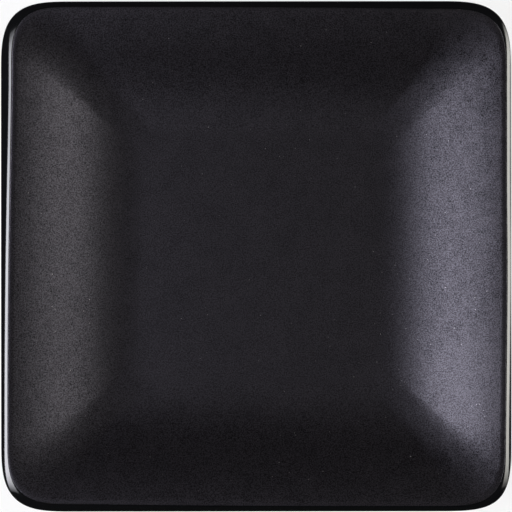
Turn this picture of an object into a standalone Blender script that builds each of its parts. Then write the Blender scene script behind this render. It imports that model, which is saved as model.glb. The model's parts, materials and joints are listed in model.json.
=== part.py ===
# Square dessert plate in stoneware: a pressed clay body with a foot ring, a matte glaze over the inside,
# and a gloss glaze over the lip, the underside and the base inside the foot.
# Metres, +Z up. The origin is on the table, under the middle of the plate.

import math

import bmesh
import bpy
from mathutils import Vector
from mathutils.geometry import interpolate_bezier

# Sizes of the glazed plate
PLATE_SIDE = 0.210  # across the lip, outside to outside
WELL_DEPTH = 0.0162  # crest of the lip down to the flat floor
WALL = 0.0052  # thickness of the slopes and the base, glaze included
FLOOR_SIDE = 0.097  # across the flat floor of the well

# Lip
CREST_INSET = 0.0032  # outermost edge in to the crest
CREST_RADIUS = 0.0070  # roll of the crest into the slope
RIM_SLOPE = math.radians(16.9)  # how steep the slope is where it leaves the crest
LIP_DROP = 0.0020  # crest down to the outermost edge
LIP_TURN = math.radians(38)  # how far the top of the lip leans out where it meets the rounded edge
LIP_EDGE = 0.0009  # radius of the rounded edge
GLAZE_LINE = 0.0007  # crest out to the line where the two glazes meet

# Foot ring
FOOT_SIDE = 0.118  # across the ring, outside to outside
FOOT_WIDTH = 0.0062  # width of the ring
FOOT_HEIGHT = 0.0036  # table up to the base inside the ring
FOOT_FILLET = 0.0013  # where the ring's sides run into the base
FOOT_EDGE = 0.0006  # rounding beside the bare contact face
BARE_BAND = 0.0010  # bare clay between the table and the glaze

# Corners in plan: each reaches this far along a side, on the curve |x|^n + |y|^n = 1
RIM_CORNER = 0.030
FLOOR_CORNER = 0.015
CORNER_POWER = 3.4

# Glaze
GLAZE = 0.0004  # thickness of a coat
BOND = 0.0003  # parting between a coat and what it lies on

# Curves: each handle's length as a share of the slope's run, the crest's inset, the wall or the under lip
FLOOR_EASE = 0.415
RIM_EASE = 0.38
CREST_EASE = 0.22
LIP_EASE = 0.40
SIDE_EASE = 0.20
UNDER_LIP_EASE = 0.65
FILLET_SHARE = 0.8  # the most of a wall that a fillet or a rounded edge takes up

# Fineness of the solids
CORNER_STEPS = 8
SLOPE_STEPS = 11
CREST_STEPS = 3
LIP_STEPS = 5
EDGE_STEPS = 3
FILLET_STEPS = 3

# Derived sizes
PLATE_HALF = PLATE_SIDE / 2
FLOOR_HALF = FLOOR_SIDE / 2
FOOT_HALF = FOOT_SIDE / 2
FOOT_INNER_HALF = FOOT_HALF - FOOT_WIDTH
FLOOR_HEIGHT = FOOT_HEIGHT + WALL
PLATE_HEIGHT = FLOOR_HEIGHT + WELL_DEPTH
SINK = GLAZE + BOND  # from the glazed surface in to the clay
FILLET = min(FOOT_FILLET, FILLET_SHARE * (FOOT_HEIGHT - BARE_BAND))
CONTACT_EDGE = min(FOOT_EDGE, FILLET_SHARE * BARE_BAND, FILLET_SHARE * (FOOT_WIDTH / 2 - SINK))


def clear_scene():
    for obj in list(bpy.data.objects):
        bpy.data.objects.remove(obj, do_unlink=True)


def section(half, height):
    """A point of the plate's section: its distance from the middle and its height."""
    return Vector((half, height))


def ellipse(centre, wide, high, start, end, steps):
    """Points on an ellipse in the section, with the turn counted from +half towards +height."""
    points = []
    for i in range(steps + 1):
        turn = start + (end - start) * i / steps
        points.append(centre + section(wide * math.cos(turn), high * math.sin(turn)))
    return points


def shoulder():
    """Where the roll of the crest becomes the slope."""
    back = CREST_RADIUS * math.sin(RIM_SLOPE)
    down = CREST_RADIUS * (1 - math.cos(RIM_SLOPE))
    return section(PLATE_HALF - CREST_INSET - back, PLATE_HEIGHT - down)


def slope():
    """The inside slope, from the edge of the flat floor up to the shoulder."""
    start = section(FLOOR_HALF, FLOOR_HEIGHT)
    end = shoulder()
    run = end.x - start.x
    start_handle = start + section(FLOOR_EASE * run, 0)
    end_handle = end - RIM_EASE * run * section(1, math.tan(RIM_SLOPE))
    return interpolate_bezier(start, start_handle, end_handle, end, SLOPE_STEPS + 1)


def lip_edge():
    """The rounded outer edge, from the top of the lip out to the outermost point."""
    centre = section(PLATE_HALF - LIP_EDGE, PLATE_HEIGHT - LIP_DROP)
    return ellipse(centre, LIP_EDGE, LIP_EDGE, math.pi / 2 - LIP_TURN, 0, EDGE_STEPS)


def lip_top():
    """The top of the lip, from the crest out to the rounded edge."""
    start = section(PLATE_HALF - CREST_INSET, PLATE_HEIGHT)
    end = lip_edge()[0]
    start_handle = start + section(CREST_EASE * CREST_INSET, 0)
    end_handle = end - LIP_EASE * CREST_INSET * section(math.cos(LIP_TURN), -math.sin(LIP_TURN))
    return interpolate_bezier(start, start_handle, end_handle, end, LIP_STEPS + 1)


def split(points, half):
    """Parts a line in two where it crosses this distance from the middle."""
    for i in range(1, len(points)):
        before, after = points[i - 1], points[i]
        if min(before.x, after.x) < half <= max(before.x, after.x):
            cut = before.lerp(after, (half - before.x) / (after.x - before.x))
            return points[:i] + [cut], [cut] + points[i:]
    return points, []


def glaze_line(side):
    """How far out a glaze ends: side is -1 for the matte coat and 1 for the gloss coat."""
    half_parting = (BOND + GLAZE / 4) / 2  # the coats lean together below the surface
    return PLATE_HALF - CREST_INSET + GLAZE_LINE + side * half_parting


def inside_profile():
    """The matte coat's surface: floor edge, slope, roll of the crest, and on to the glaze line."""
    crest_centre = section(PLATE_HALF - CREST_INSET, PLATE_HEIGHT - CREST_RADIUS)
    top = math.pi / 2
    roll = ellipse(crest_centre, CREST_RADIUS, CREST_RADIUS, top + RIM_SLOPE, top, CREST_STEPS)
    return split(slope() + roll[1:] + lip_top()[1:], glaze_line(-1))[0]


def into_wall(points):
    """Unit moves into the wall, which lies on the right of the way a profile runs."""
    moves = []
    for i, point in enumerate(points):
        before = points[max(i - 1, 0)]
        after = points[min(i + 1, len(points) - 1)]
        along = (after - before).normalized()
        moves.append(Vector((along.y, -along.x)))
    return moves


def underside():
    """The underside of the slope, one wall below it, from the lip in to where the foot's fillet starts."""
    above = slope()
    below = [point + WALL * move for point, move in zip(above, into_wall(above))]
    below.reverse()
    below.append(section(0, FOOT_HEIGHT))
    return split(below, FOOT_HALF + FILLET)[0]


def outside_profile():
    """The gloss coat's surface: glaze line, lip, under the lip, underside, and down the foot."""
    outer_lip = split(lip_top(), glaze_line(1))[1] + lip_edge()[1:]
    under = underside()
    edge = outer_lip[-1]
    reach = PLATE_HALF - under[0].x
    edge_handle = edge - section(0, SIDE_EASE * WALL)
    under_handle = under[0] + UNDER_LIP_EASE * reach * section(1, math.tan(RIM_SLOPE))
    turn_under = interpolate_bezier(edge, edge_handle, under_handle, under[0], LIP_STEPS + 1)
    fillet_centre = under[-1] - section(0, FILLET)
    fillet = ellipse(fillet_centre, FILLET, FILLET, math.pi / 2, math.pi, FILLET_STEPS)
    foot_end = section(FOOT_HALF, BARE_BAND)
    return outer_lip + turn_under[1:] + under[1:] + fillet[1:] + [foot_end]


def recess_profile():
    """The recess coat's surface: up the inner side of the foot and in to the flat base."""
    corner = section(FOOT_INNER_HALF - FILLET, FOOT_HEIGHT - FILLET)
    fillet = ellipse(corner, FILLET, FILLET, 0, math.pi / 2, FILLET_STEPS)
    return [section(FOOT_INNER_HALF, BARE_BAND)] + fillet


def stations(points, sink=0.0):
    """Each point of a profile with its move into the wall."""
    return [(point, sink * move) for point, move in zip(points, into_wall(points))]


def bare_foot():
    """The clay below the glaze: outer edge, contact face on the table, inner edge."""
    outer, inner = [], []
    for i in range(FILLET_STEPS + 1):
        turn = math.pi / 2 * i / FILLET_STEPS
        inset = SINK + CONTACT_EDGE * (1 - math.cos(turn))
        height = CONTACT_EDGE * (1 - math.sin(turn))
        outer.append((section(FOOT_HALF, height), section(-inset, 0)))
        inner.append((section(FOOT_INNER_HALF, height), section(inset, 0)))
    return outer + inner[::-1]


def corner_reach(half):
    """How far a corner reaches along the side of a section this far from the middle."""
    share = (half - FLOOR_HALF) / (PLATE_HALF - FLOOR_HALF)
    return min(FLOOR_CORNER + share * (RIM_CORNER - FLOOR_CORNER), half)


def plan_ring(half, grow):
    """The plate's plan at one level, as (x, y) points, each moved out by grow square to the plan."""
    reach = corner_reach(half)
    quarter = []
    for i in range(CORNER_STEPS + 1):
        turn = math.pi / 2 * i / CORNER_STEPS
        x = abs(math.cos(turn)) ** (2 / CORNER_POWER)
        y = abs(math.sin(turn)) ** (2 / CORNER_POWER)
        normal = Vector((x ** (CORNER_POWER - 1), y ** (CORNER_POWER - 1))).normalized()
        corner = Vector((half - reach + reach * x, half - reach + reach * y))
        quarter.append(corner + grow * normal)
    ring = []
    for _ in range(4):
        ring += quarter
        quarter = [Vector((-point.y, point.x)) for point in quarter]
    return ring


def loft(name, profile, first_cap=False, last_cap=False):
    """A surface through one ring for each station, facing out of the wall, with flat caps where asked."""
    bm = bmesh.new()
    rings = []
    for point, move in profile:
        ring = plan_ring(point.x, move.x)
        rings.append([bm.verts.new((x, y, point.y + move.y)) for x, y in ring])
    for ring, next_ring in zip(rings, rings[1:]):
        for i in range(len(ring)):
            bm.faces.new((ring[i], ring[i - 1], next_ring[i - 1], next_ring[i]))
    if first_cap:
        bm.faces.new(rings[0])
    if last_cap:
        bm.faces.new(reversed(rings[-1]))
    mesh = bpy.data.meshes.new(name)
    bm.to_mesh(mesh)
    bm.free()
    return mesh


def add_part(mesh, material, collection, parent):
    mesh.shade_smooth()
    mesh.set_sharp_from_angle(angle=math.radians(40))
    mesh.materials.append(material)
    part = bpy.data.objects.new(mesh.name, mesh)
    part.parent = parent
    collection.objects.link(part)
    return part


def add_coat(surface, material, collection, parent):
    """A glaze coat: the glazed surface, thickened into the plate."""
    coat = add_part(surface, material, collection, parent)
    solidify = coat.modifiers.new("glaze thickness", "SOLIDIFY")
    solidify.thickness = GLAZE
    solidify.offset = -1
    solidify.use_even_offset = True
    return coat


def finish(name, colour, roughness):
    material = bpy.data.materials.new(name)
    material.use_nodes = True
    shader = material.node_tree.nodes["Principled BSDF"]
    shader.inputs["Base Color"].default_value = (*colour, 1)
    shader.inputs["Roughness"].default_value = roughness
    shader.inputs["Metallic"].default_value = 0
    material.diffuse_color = (*colour, 1)
    return material


def main():
    clear_scene()
    collection = bpy.data.collections.new("dessert_plate")
    bpy.context.scene.collection.children.link(collection)
    plate = bpy.data.objects.new("dessert_plate", None)
    collection.objects.link(plate)

    bare_clay = finish("bare stoneware", (0.44, 0.35, 0.26), 0.85)
    matte_black = finish("matte black glaze", (0.011, 0.010, 0.012), 0.48)
    gloss_black = finish("gloss black glaze", (0.004, 0.004, 0.0045), 0.08)
    gloss_black_recess = finish("gloss black glaze in the recess", (0.004, 0.004, 0.0045), 0.10)

    inside = inside_profile()
    outside = outside_profile()
    recess = recess_profile()
    clay = stations(inside, SINK) + stations(outside, SINK) + bare_foot() + stations(recess, SINK)

    body = loft("stoneware_body", clay, first_cap=True, last_cap=True)
    add_part(body, bare_clay, collection, plate)
    inside_surface = loft("inside_matte_glaze", stations(inside), first_cap=True)
    add_coat(inside_surface, matte_black, collection, plate)
    outside_surface = loft("outside_gloss_glaze", stations(outside))
    add_coat(outside_surface, gloss_black, collection, plate)
    recess_surface = loft("foot_recess_glaze", stations(recess), last_cap=True)
    add_coat(recess_surface, gloss_black_recess, collection, plate)


main()
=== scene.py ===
import json
import math

import bpy
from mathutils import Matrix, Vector
from mathutils.geometry import interpolate_bezier


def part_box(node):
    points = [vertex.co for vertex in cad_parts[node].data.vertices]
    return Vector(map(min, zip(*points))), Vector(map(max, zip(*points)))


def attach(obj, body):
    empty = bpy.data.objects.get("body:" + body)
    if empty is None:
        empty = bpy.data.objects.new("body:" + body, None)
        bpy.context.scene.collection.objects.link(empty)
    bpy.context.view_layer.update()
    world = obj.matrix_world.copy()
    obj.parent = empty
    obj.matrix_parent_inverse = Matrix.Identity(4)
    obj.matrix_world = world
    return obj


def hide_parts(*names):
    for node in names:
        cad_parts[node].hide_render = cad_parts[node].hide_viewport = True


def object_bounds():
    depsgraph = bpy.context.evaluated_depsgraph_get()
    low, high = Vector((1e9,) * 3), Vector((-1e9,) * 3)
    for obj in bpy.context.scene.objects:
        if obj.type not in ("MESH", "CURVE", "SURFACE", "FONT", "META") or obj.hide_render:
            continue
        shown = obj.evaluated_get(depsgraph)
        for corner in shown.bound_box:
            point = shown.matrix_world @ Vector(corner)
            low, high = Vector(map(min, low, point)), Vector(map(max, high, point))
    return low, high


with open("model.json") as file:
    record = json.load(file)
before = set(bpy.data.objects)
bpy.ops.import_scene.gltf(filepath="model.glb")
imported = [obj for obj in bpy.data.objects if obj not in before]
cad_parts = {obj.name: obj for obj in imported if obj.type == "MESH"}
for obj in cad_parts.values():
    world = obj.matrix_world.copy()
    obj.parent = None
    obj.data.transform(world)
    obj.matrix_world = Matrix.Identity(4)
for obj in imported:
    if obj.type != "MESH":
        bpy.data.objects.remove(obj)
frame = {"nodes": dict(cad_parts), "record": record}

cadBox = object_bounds()
mm = 0.001
quarterTurn = math.pi / 2
boxMargin = 0.002 * mm  # the dressed plate stays this far inside the solids' box
print("frame loaded:", sorted(frame["nodes"]))

# Sizes that every piece shares, from the frame where it has them
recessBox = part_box("foot_recess_glaze")
mountAt = {mount["name"]: mount["pos_m"] for mount in frame["record"]["mounts"]}
coat = {
    "glaze": 0.4 * mm,  # from the glazed face to the clay
    "depth": 0.38 * mm,  # from the glazed face to the coat's own back
    "parting": 0.22 * mm,  # between the two glazes on the lip
    "lineEdge": 0.1 * mm,  # rounding beside that parting
    "footEdge": 0.28 * mm,  # thick rounded end of the gloss at the foot
}
plate = {
    "half": cadBox[1].x - boxMargin,  # outermost edge of the lip
    "crest": cadBox[1].z - boxMargin,
    "floor": mountAt["well_floor"][2],
    "base": recessBox[1].z - coat["glaze"],  # underside of the base, inside the foot
    "bare": recessBox[0].z,  # top of the bare clay on the foot
    "footIn": recessBox[1].x - coat["glaze"],
    "footOut": 2 * mountAt["foot_ring"][0] - (recessBox[1].x - coat["glaze"]),
    "crestInset": 3.2 * mm,
    "floorHalf": 48.5 * mm,
}
plate["wall"] = plate["floor"] - plate["base"]
plate["crestHalf"] = plate["half"] - plate["crestInset"]


# Node trees written as expressions: a Wire is one output socket, a Net is the tree it belongs to
class Wire:
    def __init__(self, net, socket):
        self.net = net
        self.socket = socket

    def maths(self, operation, *values):
        return self.net.make("ShaderNodeMath", {"operation": operation}, dict(enumerate(values)))

    def __add__(self, other):
        return self.maths("ADD", self, other)

    def __radd__(self, other):
        return self.maths("ADD", other, self)

    def __sub__(self, other):
        return self.maths("SUBTRACT", self, other)

    def __rsub__(self, other):
        return self.maths("SUBTRACT", other, self)

    def __mul__(self, other):
        return self.maths("MULTIPLY", self, other)

    def __rmul__(self, other):
        return self.maths("MULTIPLY", other, self)

    def __truediv__(self, other):
        return self.maths("DIVIDE", self, other)

    def __rtruediv__(self, other):
        return self.maths("DIVIDE", other, self)

    def __pow__(self, other):
        return self.maths("POWER", self, other)

    def least(self, other):
        return self.maths("MINIMUM", self, other)

    def most(self, other):
        return self.maths("MAXIMUM", self, other)

    def floor(self):
        return self.maths("FLOOR", self)

    def cos(self):
        return self.maths("COSINE", self)

    def sin(self):
        return self.maths("SINE", self)

    def ramp(self, low, high):  # 0 at low, 1 at high, eased at both ends
        links = {"Value": self, "From Min": low, "From Max": high}
        return self.net.make("ShaderNodeMapRange", {"interpolation_type": "SMOOTHSTEP"}, links)

    def axis(self, name):
        return self.net.make("ShaderNodeSeparateXYZ", {}, {"Vector": self}, name)


class Net:
    def __init__(self, tree):
        self.tree = tree

    def feed(self, node, links):
        for name, value in links.items():
            named = [s for s in node.inputs if s.enabled and s.name == name]
            socket = node.inputs[name] if isinstance(name, int) else named[0]
            if isinstance(value, Wire):
                self.tree.links.new(value.socket, socket)
            else:
                socket.default_value = value

    def make(self, kind, settings=None, links=None, out=0):
        node = self.tree.nodes.new(kind)
        for name, value in (settings or {}).items():
            setattr(node, name, value)
        self.feed(node, links or {})
        named = [s for s in node.outputs if s.enabled and s.name == out]
        return Wire(self, node.outputs[out] if isinstance(out, int) else named[0])

    def noise(self, at, size, detail=2.0):
        links = {"Vector": at, "Scale": 1 / size, "Detail": detail}
        return self.make("ShaderNodeTexNoise", {}, links, "Fac")

    def vector(self, x, y, z):
        return self.make("ShaderNodeCombineXYZ", {}, {"X": x, "Y": y, "Z": z})

    def vectorMaths(self, operation, *vectors, out=0):
        links = dict(enumerate(vectors))
        return self.make("ShaderNodeVectorMath", {"operation": operation}, links, out)

    def offset(self, at, move):
        return self.vectorMaths("ADD", at, move)

    def scaled(self, vector, share):
        return self.make("ShaderNodeVectorMath", {"operation": "SCALE"}, {0: vector, "Scale": share})

    def blend(self, share, first, second):
        links = {"Factor": share, "A": first, "B": second}
        return self.make("ShaderNodeMix", {"data_type": "RGBA"}, links, "Result")

    def bump(self, height, depth):
        links = {"Height": height, "Distance": depth, "Strength": 1.0}
        return self.make("ShaderNodeBump", {}, links, "Normal")


socketKinds = {int: "Int", float: "Float", tuple: "Vector"}


def newTree(name, sizes):  # a tree with an input for each size, and one for the material
    tree = bpy.data.node_groups.new(name, "GeometryNodeTree")
    tree.interface.new_socket("Geometry", in_out="INPUT", socket_type="NodeSocketGeometry")
    for label, value in sizes.items():
        kind = "NodeSocket" + socketKinds[type(value)]
        tree.interface.new_socket(label, in_out="INPUT", socket_type=kind)
    tree.interface.new_socket("Material", in_out="INPUT", socket_type="NodeSocketMaterial")
    tree.interface.new_socket("Geometry", in_out="OUTPUT", socket_type="NodeSocketGeometry")
    net = Net(tree)
    given = tree.nodes.new("NodeGroupInput")
    return net, {s.name: Wire(net, s) for s in given.outputs if s.name}


def endTree(net, shape, material):
    shape = net.make("GeometryNodeSetShadeSmooth", {}, {"Geometry": shape})
    shape = net.make("GeometryNodeRealizeInstances", {}, {"Geometry": shape})
    shape = net.make("GeometryNodeSetMaterial", {}, {"Geometry": shape, "Material": material})
    result = net.tree.nodes.new("NodeGroupOutput")
    net.feed(result, {"Geometry": shape})
    return net.tree


def grow(name, mesh, tree, values):  # runs a tree on a mesh and keeps what it makes as a plain mesh
    piece = bpy.data.objects.new(name, mesh)
    bpy.context.scene.collection.objects.link(piece)
    modifier = piece.modifiers.new(tree.name, "NODES")
    modifier.node_group = tree
    for item in tree.interface.items_tree:
        if item.in_out == "INPUT" and item.name in values:
            modifier[item.identifier] = values[item.name]
    graph = bpy.context.evaluated_depsgraph_get()
    made = bpy.data.meshes.new_from_object(piece.evaluated_get(graph))
    piece.modifiers.clear()
    piece.data = made
    made.name = name
    print("built", name, len(made.polygons), "faces")
    return piece


# The lip: a roll that steepens outwards from the crest until the rounded outline cuts it off
lip = {
    "sharp": 0.225,  # how steep the roll gets close to the crest
    "roll": 0.3 * mm,  # within about this distance
    "bend": 0.0822 / mm,  # how it goes on steepening
    "straight": 2.6 * mm,  # where it stops steepening
    "edge": 0.45 * mm,  # radius of the rounded outer edge
    "turn": math.radians(36),  # lean of the lip's top where that edge starts
    "sideEase": 0.2,  # handle of the turn below the edge, as a share of the wall
    "underEase": 0.65,  # handle of that turn on the underside, as a share of its run
    "glazeLine": 0.42 * mm,  # crest out to where the glazes meet
    "fade": 3 * mm,  # below the edge, the side goes back to its true height over this much
}
lip["reach"] = plate["crestInset"] - lip["edge"] * (1 - math.sin(lip["turn"]))


def lipDrop(out):  # below the crest, for a number or for a Wire
    bent = out.least(lip["straight"]) if isinstance(out, Wire) else min(out, lip["straight"])
    return out * out * lip["sharp"] / (out + lip["roll"]) + lip["bend"] * bent * (2 * out - bent)


lip["height"] = plate["crest"] - lipDrop(lip["reach"]) - lip["edge"] * math.cos(lip["turn"])


# The plate's plan: every level is a square with eased corners, and the inside sits a little off true
loft = {
    "Ring Points": 208,  # around the plate, the same number in each quarter
    "Side Share": 0.22,  # of a quarter's points, on each of its two half sides
    "Rim Half": plate["half"],
    "Floor Half": plate["floorHalf"],
    "Rim Corner": 30 * mm,
    "Base Corner": 15 * mm,
    "Corner Power": 3.4,  # 2 is round, more is squarer, less is flatter
    "Well Corner": 8 * mm,  # inside, the corners are nearly flat facets that widen towards the rim
    "Crest Corner": 27.5 * mm,
    "Well Growth": 2.9,  # the more, the closer to the crest they widen
    "Well Power": 1.4,
    "Power Growth": 4.5,  # the more, the closer to the crest they turn round
    "Crest Half": plate["crestHalf"],
    "Lip Reach": lip["reach"],
    "Lip Height": lip["height"],
    "Lip Fade": lip["fade"],
    "Lip Turn": math.radians(-0.42),  # the inner line is turned a little
    "Lip Bow": 0.35 * mm,  # and its sides are bowed outwards
    "Left Shift": 0.29 * mm,  # the left side's inner line sits further in than the others
    "Left Skew": 0.98 * mm,  # and leans in at the top
    "Left Bend": 0.4,  # the more so, the further up
    "Right Skew": -0.45 * mm,  # so does the upper half of the right side, by less
    "Right Start": -0.15,  # from here up, as a share of the half side
    "Right Full": 0.35,
    "Corner Bulge": 0.43 * mm,  # the outline stands out a little at the lower right
    "Lip Shift": (0.68 * mm, 0.0, 0),  # the inner line sits to the right of the outline's middle
    "Well Shift": (1.6 * mm, -0.4 * mm, 0),  # and the floor more so
    "Weld": 0.001 * mm,  # points closer than this become one
}


def ringLoftTree():
    net, given = newTree("ringLoft", loft)
    section = {"Geometry": given["Geometry"]}
    rows = net.make("GeometryNodeAttributeDomainSize", {"component": "MESH"}, section, "Point Count")
    columns = given["Ring Points"] + 1
    gridSize = {"Size X": 1.0, "Size Y": 1.0, "Vertices X": columns, "Vertices Y": rows}
    grid = net.make("GeometryNodeMeshGrid", {}, gridSize, "Mesh")
    place = net.make("GeometryNodeInputPosition")
    around = 0.5 - place.axis("X")
    row = ((place.axis("Y") + 0.5) * (rows - 1) + 0.5).floor()

    def sampled(kind, value):  # what the section holds at this row's point
        links = {**section, "Index": row, "Value": value}
        return net.make("GeometryNodeSampleIndex", {"data_type": kind, "domain": "POINT"}, links)

    spot = sampled("FLOAT_VECTOR", place)
    leanKind = {"data_type": "FLOAT"}
    leanHere = net.make("GeometryNodeInputNamedAttribute", leanKind, {"Name": "lean"}, "Attribute")
    lean = sampled("FLOAT", leanHere)
    height = spot.axis("Z")

    quarter = (around * 4).floor()
    along = around * 4 - quarter  # 0 to 1: half a side, a corner, half a side
    share = given["Side Share"]
    turn = ((along - share) / (1 - 2 * share)).most(0.0).least(1.0) * quarterTurn
    cos, sin = turn.cos().most(0.0), turn.sin().most(0.0)
    sideX = ((1 - along) / share).least(1.0)
    sideY = (along / share).least(1.0)
    lowerRight = (2 * cos * sin) ** 2 * quarter.ramp(2.0, 3.0)  # 1 at that corner, 0 along the sides

    def turned(vector, angle):
        links = {"Vector": vector, "Angle": angle}
        return net.make("ShaderNodeVectorRotate", {"rotation_type": "Z_AXIS"}, links)

    def ringAt(half, lean):  # a point of the plan, as far off true as lean says
        outward = (half - given["Floor Half"]) / (given["Rim Half"] - given["Floor Half"])  # 1 at the rim
        under = given["Base Corner"] + outward * (given["Rim Corner"] - given["Base Corner"])
        toCrest = (half - given["Floor Half"]) / (given["Crest Half"] - given["Floor Half"])
        toCrest = toCrest.most(0.0).least(1.0)
        grown = toCrest ** given["Well Growth"]
        well = given["Well Corner"] + grown * (given["Crest Corner"] - given["Well Corner"])
        reach = (under + lean * (well - under)).least(half)
        flatter = lean * (1 - toCrest ** given["Power Growth"])
        power = given["Corner Power"] + flatter * (given["Well Power"] - given["Corner Power"])
        inward = (1 - outward).most(0.0).least(1.0) * lean
        bow = (lean - inward) * given["Lip Bow"]
        bulge = given["Corner Bulge"] * lowerRight * outward.most(0.0) * (1 - lean)
        x = (half - reach) * sideX + reach * cos ** (2 / power) + bow * (1 - sideY * sideY) + bulge
        y = (half - reach) * sideY + reach * sin ** (2 / power) + bow * (1 - sideX * sideX) + bulge
        ring = turned(net.vector(x, y, 0.0), quarter * quarterTurn + lean * given["Lip Turn"])
        onRight = (1 + ring.axis("X") / half) * 0.5
        upward = ring.axis("Y") / half
        squared = upward * upward
        leftMove = given["Left Shift"] + given["Left Skew"] * upward * (1 + given["Left Bend"] * upward)
        leftMove = leftMove * (1 - onRight) * (1 - squared * squared)
        rightMove = given["Right Skew"] * upward.ramp(given["Right Start"], given["Right Full"]) * onRight
        ring = net.offset(ring, net.vector((leftMove + rightMove) * (lean - inward), 0.0, 0.0))
        ring = net.offset(ring, net.scaled(given["Lip Shift"], lean - inward))
        return net.offset(ring, net.scaled(given["Well Shift"], inward))

    trueCrest = ringAt(given["Crest Half"], height * 0)
    crest = ringAt(given["Crest Half"], height * 0 + 1)
    facing = 2 - 2 / given["Corner Power"]
    straightOut = net.vector(cos ** facing, sin ** facing, 0.0)
    straightOut = net.vectorMaths("NORMALIZE", turned(straightOut, quarter * quarterTurn))
    crestGap = net.vectorMaths("SUBTRACT", crest, trueCrest)
    crestMove = net.vectorMaths("DOT_PRODUCT", crestGap, straightOut, out="Value")
    out = 1 - lean
    follow = height.ramp(given["Lip Height"] - given["Lip Fade"], given["Lip Height"])
    trueDrop = lipDrop(out * given["Lip Reach"])
    lift = (trueDrop - lipDrop(out * (given["Lip Reach"] - crestMove))) * follow
    ring = net.offset(ringAt(spot.axis("X"), lean), net.vector(0.0, 0.0, height + lift))
    shape = net.make("GeometryNodeSetPosition", {}, {"Geometry": grid, "Position": ring})
    shape = net.make("GeometryNodeMergeByDistance", {}, {"Geometry": shape, "Distance": given["Weld"]})
    return endTree(net, shape, given["Material"])


ringLoft = ringLoftTree()


# Lines of the plate's section, as distance from the middle and height, with the wall on their right
slope = {
    "crestRadius": 7 * mm,
    "rimSlope": math.radians(16.9),
    "floorEase": 0.415,  # lengths of the two handles, as shares of the slope's run
    "rimEase": 0.38,
}
foot = {
    "fillet": 1.3 * mm,
    "edge": 0.6 * mm,
    "clear": 0.2 * mm,  # between that fillet and the underside's first point
}
steps = {  # pieces that each stretch of the section is cut into
    "floor": 14,
    "slope": 44,
    "crest": 10,
    "glazeLine": 6,
    "lip": 28,
    "edge": 8,
    "turn": 16,
    "under": 30,
    "fillet": 8,
    "footEdge": 6,
    "coatEdge": 4,
}


def arc(centre, radius, start, end, count):
    turns = [start + (end - start) * i / count for i in range(count + 1)]
    return [centre + radius * Vector((math.cos(turn), math.sin(turn))) for turn in turns]


def sunk(points, depth):  # the same line, this far into the wall
    moved = []
    for i, point in enumerate(points):
        step = points[min(i + 1, len(points) - 1)] - points[max(i - 1, 0)]
        moved.append(point + depth * Vector((step.y, -step.x)).normalized())
    return moved


def slopeLine(count):
    roll = slope["crestRadius"]
    start = Vector((plate["floorHalf"], plate["floor"]))
    endX = plate["crestHalf"] - roll * math.sin(slope["rimSlope"])
    end = Vector((endX, plate["crest"] - roll * (1 - math.cos(slope["rimSlope"]))))
    run = end.x - start.x
    startHandle = start + Vector((slope["floorEase"] * run, 0))
    endHandle = end - slope["rimEase"] * run * Vector((1, math.tan(slope["rimSlope"])))
    return interpolate_bezier(start, startHandle, endHandle, end, count + 1)


def lipLine(start, end, count):  # the top of the lip, between two distances out from the crest
    outs = [start + (end - start) * i / count for i in range(count + 1)]
    return [Vector((plate["crestHalf"] + out, plate["crest"] - lipDrop(out))) for out in outs]


def insideLine():
    floorSteps = steps["floor"]
    floorLine = [Vector((plate["floorHalf"] * i / floorSteps, plate["floor"])) for i in range(floorSteps)]
    crestCentre = Vector((plate["crestHalf"], plate["crest"] - slope["crestRadius"]))
    crestStart = quarterTurn + slope["rimSlope"]
    crestLine = arc(crestCentre, slope["crestRadius"], crestStart, quarterTurn, steps["crest"])
    lineEnd = lip["glazeLine"] - coat["parting"] / 2
    lipTop = lipLine(0, lineEnd, steps["glazeLine"])
    return floorLine + slopeLine(steps["slope"]) + crestLine[1:] + lipTop[1:]


def outsideLine():
    top = lipLine(lip["glazeLine"] + coat["parting"] / 2, lip["reach"], steps["lip"])
    edgeCentre = Vector((plate["half"] - lip["edge"], lip["height"]))
    edge = arc(edgeCentre, lip["edge"], quarterTurn - lip["turn"], 0, steps["edge"])
    filletAt = plate["footOut"] + foot["fillet"]
    under = sunk(slopeLine(steps["under"]), plate["wall"])[::-1]
    under = [point for point in under if point.x > filletAt + foot["clear"]]
    slant = Vector((1, math.tan(slope["rimSlope"])))
    edgeHandle = edge[-1] - Vector((0, lip["sideEase"] * plate["wall"]))
    underHandle = under[0] + lip["underEase"] * (plate["half"] - under[0].x) * slant
    turnUnder = interpolate_bezier(edge[-1], edgeHandle, underHandle, under[0], steps["turn"] + 1)
    filletCentre = Vector((filletAt, plate["base"] - foot["fillet"]))
    fillet = arc(filletCentre, foot["fillet"], quarterTurn, 2 * quarterTurn, steps["fillet"])
    footTop = Vector((plate["footOut"], plate["bare"]))
    return top + edge[1:] + turnUnder[1:] + under[1:] + fillet + [footTop]


def recessLine():
    corner = Vector((plate["footIn"] - foot["fillet"], plate["base"] - foot["fillet"]))
    fillet = arc(corner, foot["fillet"], 0, quarterTurn, steps["fillet"])
    shares = [1 - i / steps["floor"] for i in range(1, steps["floor"] + 1)]
    ceiling = [Vector((fillet[-1].x * share, plate["base"])) for share in shares]
    return [Vector((plate["footIn"], plate["bare"]))] + fillet + ceiling


def bareFoot():
    inset, edge = coat["glaze"], foot["edge"]
    outerCentre = Vector((plate["footOut"] - inset - edge, edge))
    innerCentre = Vector((plate["footIn"] + inset + edge, edge))
    outer = arc(outerCentre, edge, 0, -quarterTurn, steps["footEdge"])
    inner = arc(innerCentre, edge, -quarterTurn, -2 * quarterTurn, steps["footEdge"])
    return outer + inner


def leanInside(points):  # how far off true each point sits: 1 up to the crest, then less and less
    outs = [(point.x - plate["crestHalf"]) / lip["reach"] for point in points]
    return [1 - min(1.0, max(0.0, out)) for out in outs]


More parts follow.
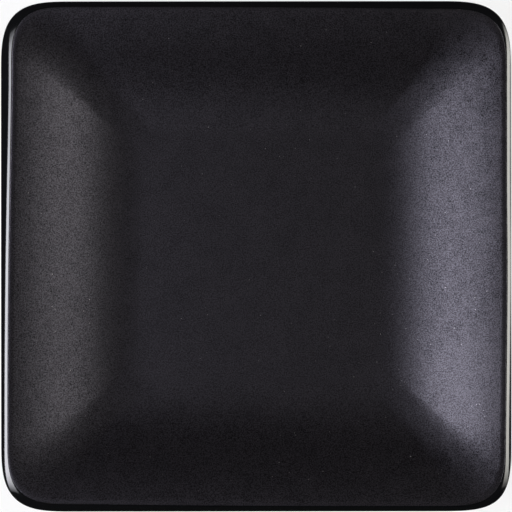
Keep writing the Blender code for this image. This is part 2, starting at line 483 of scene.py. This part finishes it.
def leanOutside(points):  # below the lip's edge, all is true
    return [lean if point.y > lip["height"] else 0.0 for point, lean in zip(points, leanInside(points))]


def roundOver(end, before, radius, side):  # over the edge of a coat, from its face to its back
    step = (end - before).normalized()
    down = side * Vector((step.y, -step.x))
    turns = [quarterTurn * i / steps["coatEdge"] for i in range(1, steps["coatEdge"] + 1)]
    over = [end + radius * (math.sin(turn) * step + (1 - math.cos(turn)) * down) for turn in turns]
    return over + [end + radius * step + coat["depth"] * down]


def coatSection(face, leans, startRadius, endRadius):  # closed, unless the coat ends in the middle
    back = sunk(face, coat["depth"])[::-1]
    startOver = roundOver(face[0], face[1], startRadius, -1)[::-1] if startRadius else []
    endOver = roundOver(face[-1], face[-2], endRadius, 1) if endRadius else []
    points = startOver + face + endOver + back
    pointLeans = leans[:1] * len(startOver) + leans + leans[-1:] * len(endOver) + leans[::-1]
    if startOver and endOver:
        points, pointLeans = points + points[:1], pointLeans + pointLeans[:1]
    return points, pointLeans


def sectionMesh(name, points, leans):
    mesh = bpy.data.meshes.new(name)
    edges = [(i, i + 1) for i in range(len(points) - 1)]
    mesh.from_pydata([(point.x, 0, point.y) for point in points], edges, [])
    mesh.attributes.new("lean", "FLOAT", "POINT").data.foreach_set("value", leans)
    return mesh


# Materials
def startMaterial(name):
    material = bpy.data.materials.new(name)
    material.use_nodes = True
    net = Net(material.node_tree)
    at = net.make("ShaderNodeTexCoord", {}, {}, "Object")
    return material, net, at, material.node_tree.nodes["Principled BSDF"]


matte = {
    "dark": (0.0006, 0.0003, 0.0002, 1),
    "pale": (0.0014, 0.0008, 0.0008, 1),
    "tint": (0.98, 0.93, 1.09, 1),  # faint violet of its sheen
    "roughness": 0.434,
    "index": 1.68,
    "grain": 0.46 * mm,
    "grainDepth": 0.055 * mm,
    "grainRough": 0.06,
    "pits": 0.78,  # how much of the sheen the pits take on the slopes
    "floorPits": 0.6,  # and on the floor, where the glaze settled smoother
    "floorEnd": 5 * mm,  # height over the floor at which the slopes' share is reached
    "pitRange": (0.25, 0.75),
    "pitShift": (0.31, 0.17, 0.05),  # keeps the pits apart from the grain
    "pitColour": 0.4,
    "pitRough": 0.8,
    "mottle": 4.5 * mm,  # cloudy unevenness of the sheen
    "mottleShift": (0.07, 0.23, 0.11),
    "mottleDepth": 0.24,
    "floorClouds": 0.85,  # share of that on the floor
    "rightClouds": 0.75,  # and this much more on the right slope
    "rightStart": 60 * mm,  # where that slope's own sheen starts, and where it is full
    "rightFull": 85 * mm,
    "rightUneven": 0.12,  # how much duller that slope gets along its length
    # From the middle up and down: where a change starts and ends, and how many times that it adds
    "upperSheen": ((45 * mm, 75 * mm, 1.0), (80 * mm, 98 * mm, -1.7)),
    "lowerSheen": ((15 * mm, 45 * mm, -1.0), (66 * mm, 80 * mm, 1.8), (84 * mm, 98 * mm, -1.0)),
    "patch": 11 * mm,
    "patchRange": (0.3, 0.7),
    "patchRough": 0.05,
}


def matteMaterial():
    material, net, at, shader = startMaterial("matteBlackGlaze")
    sand = net.noise(at, matte["grain"], 1.0)
    pits = net.noise(net.offset(at, matte["pitShift"]), matte["grain"], 1.0).ramp(*matte["pitRange"])
    mottle = net.noise(net.offset(at, matte["mottleShift"]), matte["mottle"], 2.0) - 0.5
    patches = net.noise(at, matte["patch"], 3.0)
    paler = (patches + matte["pitColour"] * (pits - 0.5)).ramp(*matte["patchRange"])
    colour = net.blend(paler, matte["dark"], matte["pale"])
    grain = net.bump(sand, matte["grainDepth"])
    unevenRough = matte["grainRough"] * (sand - 0.5) + matte["patchRough"] * (patches - 0.5)
    net.feed(shader, {
        "Base Color": colour,
        "Roughness": matte["roughness"] + unevenRough,
        "Normal": grain,
        "Specular Tint": matte["tint"],
        "IOR": matte["index"],
    })
    inPits = {"Base Color": colour, "Roughness": matte["pitRough"], "Normal": grain}
    hollow = net.make("ShaderNodeBsdfPrincipled", {}, {**inPits, "Specular IOR Level": 0.0})

    onSlope = at.axis("Z").ramp(plate["floor"], plate["floor"] + matte["floorEnd"])
    onRight = at.axis("X").ramp(matte["rightStart"], matte["rightFull"])
    depth = matte["floorPits"] + (matte["pits"] - matte["floorPits"]) * onSlope
    clouds = matte["floorClouds"] + (1 - matte["floorClouds"]) * onSlope + matte["rightClouds"] * onRight
    upward = at.axis("Y")
    downward = 0 - upward
    uneven = sum(share * upward.ramp(start, end) for start, end, share in matte["upperSheen"])
    uneven = uneven + sum(share * downward.ramp(start, end) for start, end, share in matte["lowerSheen"])
    dulled = depth * pits + matte["mottleDepth"] * clouds * mottle
    dulled = dulled + matte["rightUneven"] * onRight * uneven
    whole = net.make("ShaderNodeMixShader", {}, {0: dulled, 1: Wire(net, shader.outputs[0]), 2: hollow})
    net.feed(material.node_tree.nodes["Material Output"], {"Surface": whole})
    return material


gloss = {
    "colour": (0.0040, 0.0040, 0.0045, 1),
    "roughness": 0.09,
    "index": 1.57,
    "peel": 6 * mm,
    "peelDepth": 0.015 * mm,
    "haze": 20 * mm,
    "hazeRough": 0.05,
    "outsideShift": (0.0, 0.0, 0.0),
    "recessShift": (0.4, 0.2, 0.1),  # gives the recess a pattern of its own
}


def glossMaterial(name, shift):
    material, net, at, shader = startMaterial(name)
    moved = net.offset(at, shift)
    peel = net.noise(moved, gloss["peel"], 2.0)
    haze = net.noise(moved, gloss["haze"], 3.0)
    net.feed(shader, {
        "Base Color": gloss["colour"],
        "Roughness": gloss["roughness"] + gloss["hazeRough"] * (haze - 0.5),
        "Normal": net.bump(peel, gloss["peelDepth"]),
        "IOR": gloss["index"],
    })
    return material


clay = {
    "dark": (0.33, 0.25, 0.18, 1),
    "pale": (0.50, 0.41, 0.31, 1),
    "toneRange": (0.35, 0.65),
    "patch": 6 * mm,
    "grog": (0.16, 0.11, 0.08, 1),  # dark grains in the clay
    "grogSize": 0.9 * mm,
    "grogRange": (0.66, 0.72),
    "grain": 0.35 * mm,
    "grainDepth": 0.06 * mm,
    "roughness": 0.78,
    "grainRough": 0.14,
}


def clayMaterial():
    material, net, at, shader = startMaterial("bareStoneware")
    fine = net.noise(at, clay["grain"], 3.0)
    broad = net.noise(at, clay["patch"], 3.0)
    grog = net.noise(at, clay["grogSize"], 1.0).ramp(*clay["grogRange"])
    tone = (0.5 * fine + 0.5 * broad).ramp(*clay["toneRange"])
    colour = net.blend(tone, clay["dark"], clay["pale"])
    net.feed(shader, {
        "Base Color": net.blend(grog, colour, clay["grog"]),
        "Roughness": clay["roughness"] + clay["grainRough"] * fine,
        "Normal": net.bump(fine, clay["grainDepth"]),
    })
    return material


# Pieces
insideFace, outsideFace, recessFace = insideLine(), outsideLine(), recessLine()
insideLeans, outsideLeans = leanInside(insideFace), leanOutside(outsideFace)
recessLeans = [0.0] * len(recessFace)

insideSection = coatSection(insideFace, insideLeans, 0, coat["lineEdge"])
matteGlaze = grow("matteGlaze", sectionMesh("insideSection", *insideSection), ringLoft,
                  {**loft, "Material": matteMaterial()})

grit = {
    "Per Area": 26000.0,  # grains to a square metre, before clustering
    "Cluster": 38 * mm,
    "Cluster Low": 0.35,  # no grains under this much of the clusters' noise, all of them over the next
    "Cluster High": 0.75,
    "Smallest": 0.04 * mm,
    "Largest": 0.15 * mm,
    "Flatness": 0.6,  # height of a grain as a share of its width
    "Highest": plate["crest"] - 1 * mm,  # none on the crest itself
    "Fade": 1 * mm,
    "Facing Low": 0.6,  # only where the glaze faces up
    "Facing High": 0.65,
    "Seed": 7,
}
gritLook = {
    "dark": (0.20, 0.19, 0.20, 1),
    "pale": (0.48, 0.46, 0.45, 1),
    "patch": 3 * mm,
    "roughness": 0.45,
}


def gritTree():  # pale grains that lie in the satin glaze, in loose clusters
    net, given = newTree("glazeGrit", grit)
    place = net.make("GeometryNodeInputPosition")
    facing = net.make("GeometryNodeInputNormal").axis("Z")
    upward = facing.ramp(given["Facing Low"], given["Facing High"])
    below = (given["Highest"] - place.axis("Z")).ramp(0.0, given["Fade"])
    cluster = net.noise(place, given["Cluster"], 1.0).ramp(given["Cluster Low"], given["Cluster High"])
    density = given["Per Area"] * cluster * upward * below
    scatter = {"Mesh": given["Geometry"], "Density": density, "Seed": given["Seed"]}
    points = net.make("GeometryNodeDistributePointsOnFaces", {}, scatter, "Points")
    turn = Wire(net, points.socket.node.outputs["Rotation"])
    draw = {"Seed": given["Seed"]}
    chance = net.make("FunctionNodeRandomValue", {"data_type": "FLOAT"}, draw, "Value")
    size = given["Smallest"] + (given["Largest"] - given["Smallest"]) * chance ** 3
    grain = net.make("GeometryNodeMeshIcoSphere", {}, {"Radius": 1.0, "Subdivisions": 2}, "Mesh")
    scale = net.vector(size, size, given["Flatness"] * size)
    lay = {"Points": points, "Instance": grain, "Rotation": turn, "Scale": scale}
    grains = net.make("GeometryNodeInstanceOnPoints", {}, lay, "Instances")
    return endTree(net, grains, given["Material"])


def gritMaterial():
    material, net, at, shader = startMaterial("paleGrit")
    colour = net.blend(net.noise(at, gritLook["patch"]), gritLook["dark"], gritLook["pale"])
    net.feed(shader, {"Base Color": colour, "Roughness": gritLook["roughness"]})
    return material


glazeGrit = grow("glazeGrit", matteGlaze.data, gritTree(), {**grit, "Material": gritMaterial()})

outsideSection = coatSection(outsideFace, outsideLeans, coat["lineEdge"], coat["footEdge"])
glossGlaze = grow("glossGlaze", sectionMesh("outsideSection", *outsideSection), ringLoft,
                  {**loft, "Material": glossMaterial("glossBlackGlaze", gloss["outsideShift"])})

recessSection = coatSection(recessFace, recessLeans, coat["footEdge"], 0)
recessGlaze = grow("recessGlaze", sectionMesh("recessSection", *recessSection), ringLoft,
                   {**loft, "Material": glossMaterial("glossBlackGlazeRecess", gloss["recessShift"])})

footFace = bareFoot()
clayFaces = [sunk(face, coat["glaze"]) for face in (insideFace, outsideFace, recessFace)]
claySection = clayFaces[0] + clayFaces[1] + footFace + clayFaces[2]
clayLeans = insideLeans + outsideLeans + [0.0] * len(footFace) + recessLeans
stonewareBody = grow("stonewareBody", sectionMesh("claySection", claySection, clayLeans), ringLoft,
                     {**loft, "Material": clayMaterial()})

# Stage
studio = {
    "floorHalf": 4.0,
    "floorColour": (0.9, 0.9, 0.9, 1),
    "floorRough": 0.8,
    "whitening": 0.8,  # how far the floor is lifted to the photograph's white, where it is seen
    "world": 0.008,  # faint light from all round
    "away": 0.95,  # the lights from the plate, in metres
    "aim": (0, 0, 15 * mm),
    "ends": (0.5, 0.68, 0.83, 0.96, 1.08, 1.21, 1.36, 1.54),  # a light's panels, so that its ends fade
    "apart": 1 * mm,  # between those panels
    "sensor": 36,
    "cameraHeight": 1.2,
    "frameSide": 210.75 * mm,  # what the picture spans at the lip's edge
    "cameraShift": (0.0, 0.14 * mm),
    "cameraRoll": math.radians(-0.08),
}
leftLight = {  # angles in degrees, as seen from the plate
    "low": 29.7,
    "high": 54,
    "turn": 8,
    "wide": 17,
    "level": 13.7,  # how bright the light itself looks
    "colour": (0.97, 0.98, 1.05),
}
rightLight = {
    "low": 27.5,
    "high": 46,
    "turn": -2.6,
    "wide": 17.2,
    "level": 9.8,
    "colour": (1.03, 1.02, 0.96),
}


def lampPanel(name, place, wide, high, level, colour):
    lamp = bpy.data.lights.new(name, "AREA")
    lamp.shape = "RECTANGLE"
    lamp.size = wide
    lamp.size_y = high
    lamp.energy = level * math.pi * wide * high
    lamp.color = colour
    stand = bpy.data.objects.new(name, lamp)
    stand.location = place
    facing = Vector(studio["aim"]) - Vector(place)
    stand.rotation_euler = facing.to_track_quat("-Z", "Y").to_euler()
    stand.visible_camera = False
    bpy.context.scene.collection.objects.link(stand)


def sidePanel(name, side, light):
    low, high, turn, wide = (math.radians(light[key]) for key in ("low", "high", "turn", "wide"))
    height, tall = (low + high) / 2, (high - low) / 2
    level = light["level"] / len(studio["ends"])
    for i, share in enumerate(studio["ends"]):
        away = studio["away"] + i * studio["apart"]
        flat = away * math.cos(height)
        place = (side * flat * math.cos(turn), -flat * math.sin(turn), away * math.sin(height))
        size = (2 * away * math.tan(wide) * share, 2 * away * math.tan(tall))
        lampPanel(name + str(i), place, *size, level, light["colour"])


sidePanel("leftPanel", -1, leftLight)
sidePanel("rightPanel", 1, rightLight)

far = studio["floorHalf"]
floorMesh = bpy.data.meshes.new("studioFloor")
floorCorners = [(-far, -far, 0), (far, -far, 0), (far, far, 0), (-far, far, 0)]
floorMesh.from_pydata(floorCorners, [], [(0, 1, 2, 3)])
studioFloor = bpy.data.objects.new("studioFloor", floorMesh)
bpy.context.scene.collection.objects.link(studioFloor)
floorMaterial, floorNet, _, floorShader = startMaterial("studioFloor")
floorNet.feed(floorShader, {"Base Color": studio["floorColour"], "Roughness": studio["floorRough"]})
rayKinds = ("Is Camera Ray", "Is Glossy Ray", "Is Transmission Ray")
seen = sum(floorNet.make("ShaderNodeLightPath", {}, {}, kind) for kind in rayKinds)
share = seen.least(1.0) * studio["whitening"]
white = floorNet.make("ShaderNodeEmission", {}, {"Color": (1, 1, 1, 1), "Strength": 1.0})
surfaces = {0: share, 1: Wire(floorNet, floorShader.outputs[0]), 2: white}
backdrop = floorNet.make("ShaderNodeMixShader", {}, surfaces)
floorNet.feed(floorMaterial.node_tree.nodes["Material Output"], {"Surface": backdrop})
floorMesh.materials.append(floorMaterial)

world = bpy.data.worlds.new("studioWorld")
bpy.context.scene.world = world
world.use_nodes = True
world.node_tree.nodes["Background"].inputs["Color"].default_value = (studio["world"],) * 3 + (1,)

cameraData = bpy.data.cameras.new("camera")
cameraData.sensor_width = studio["sensor"]
cameraData.lens = studio["sensor"] * (studio["cameraHeight"] - lip["height"]) / studio["frameSide"]
camera = bpy.data.objects.new("camera", cameraData)
camera.location = (*studio["cameraShift"], studio["cameraHeight"])
camera.rotation_euler = (0, 0, studio["cameraRoll"])
bpy.context.scene.collection.objects.link(camera)
bpy.context.scene.camera = camera
bpy.context.scene.view_settings.view_transform = "Standard"
print("stage set")

# Hand the pieces to the frame
pieces = {
    matteGlaze: ("inside_matte_glaze", "matte_black_glaze"),
    glazeGrit: (None, "matte_black_glaze"),
    glossGlaze: ("outside_gloss_glaze", "gloss_black_glaze"),
    recessGlaze: ("foot_recess_glaze", "gloss_black_glaze_recess"),
    stonewareBody: ("stoneware_body", "bare_stoneware"),
}
for piece, (node, slot) in pieces.items():
    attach(piece, "root")
    if node:
        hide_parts(node)
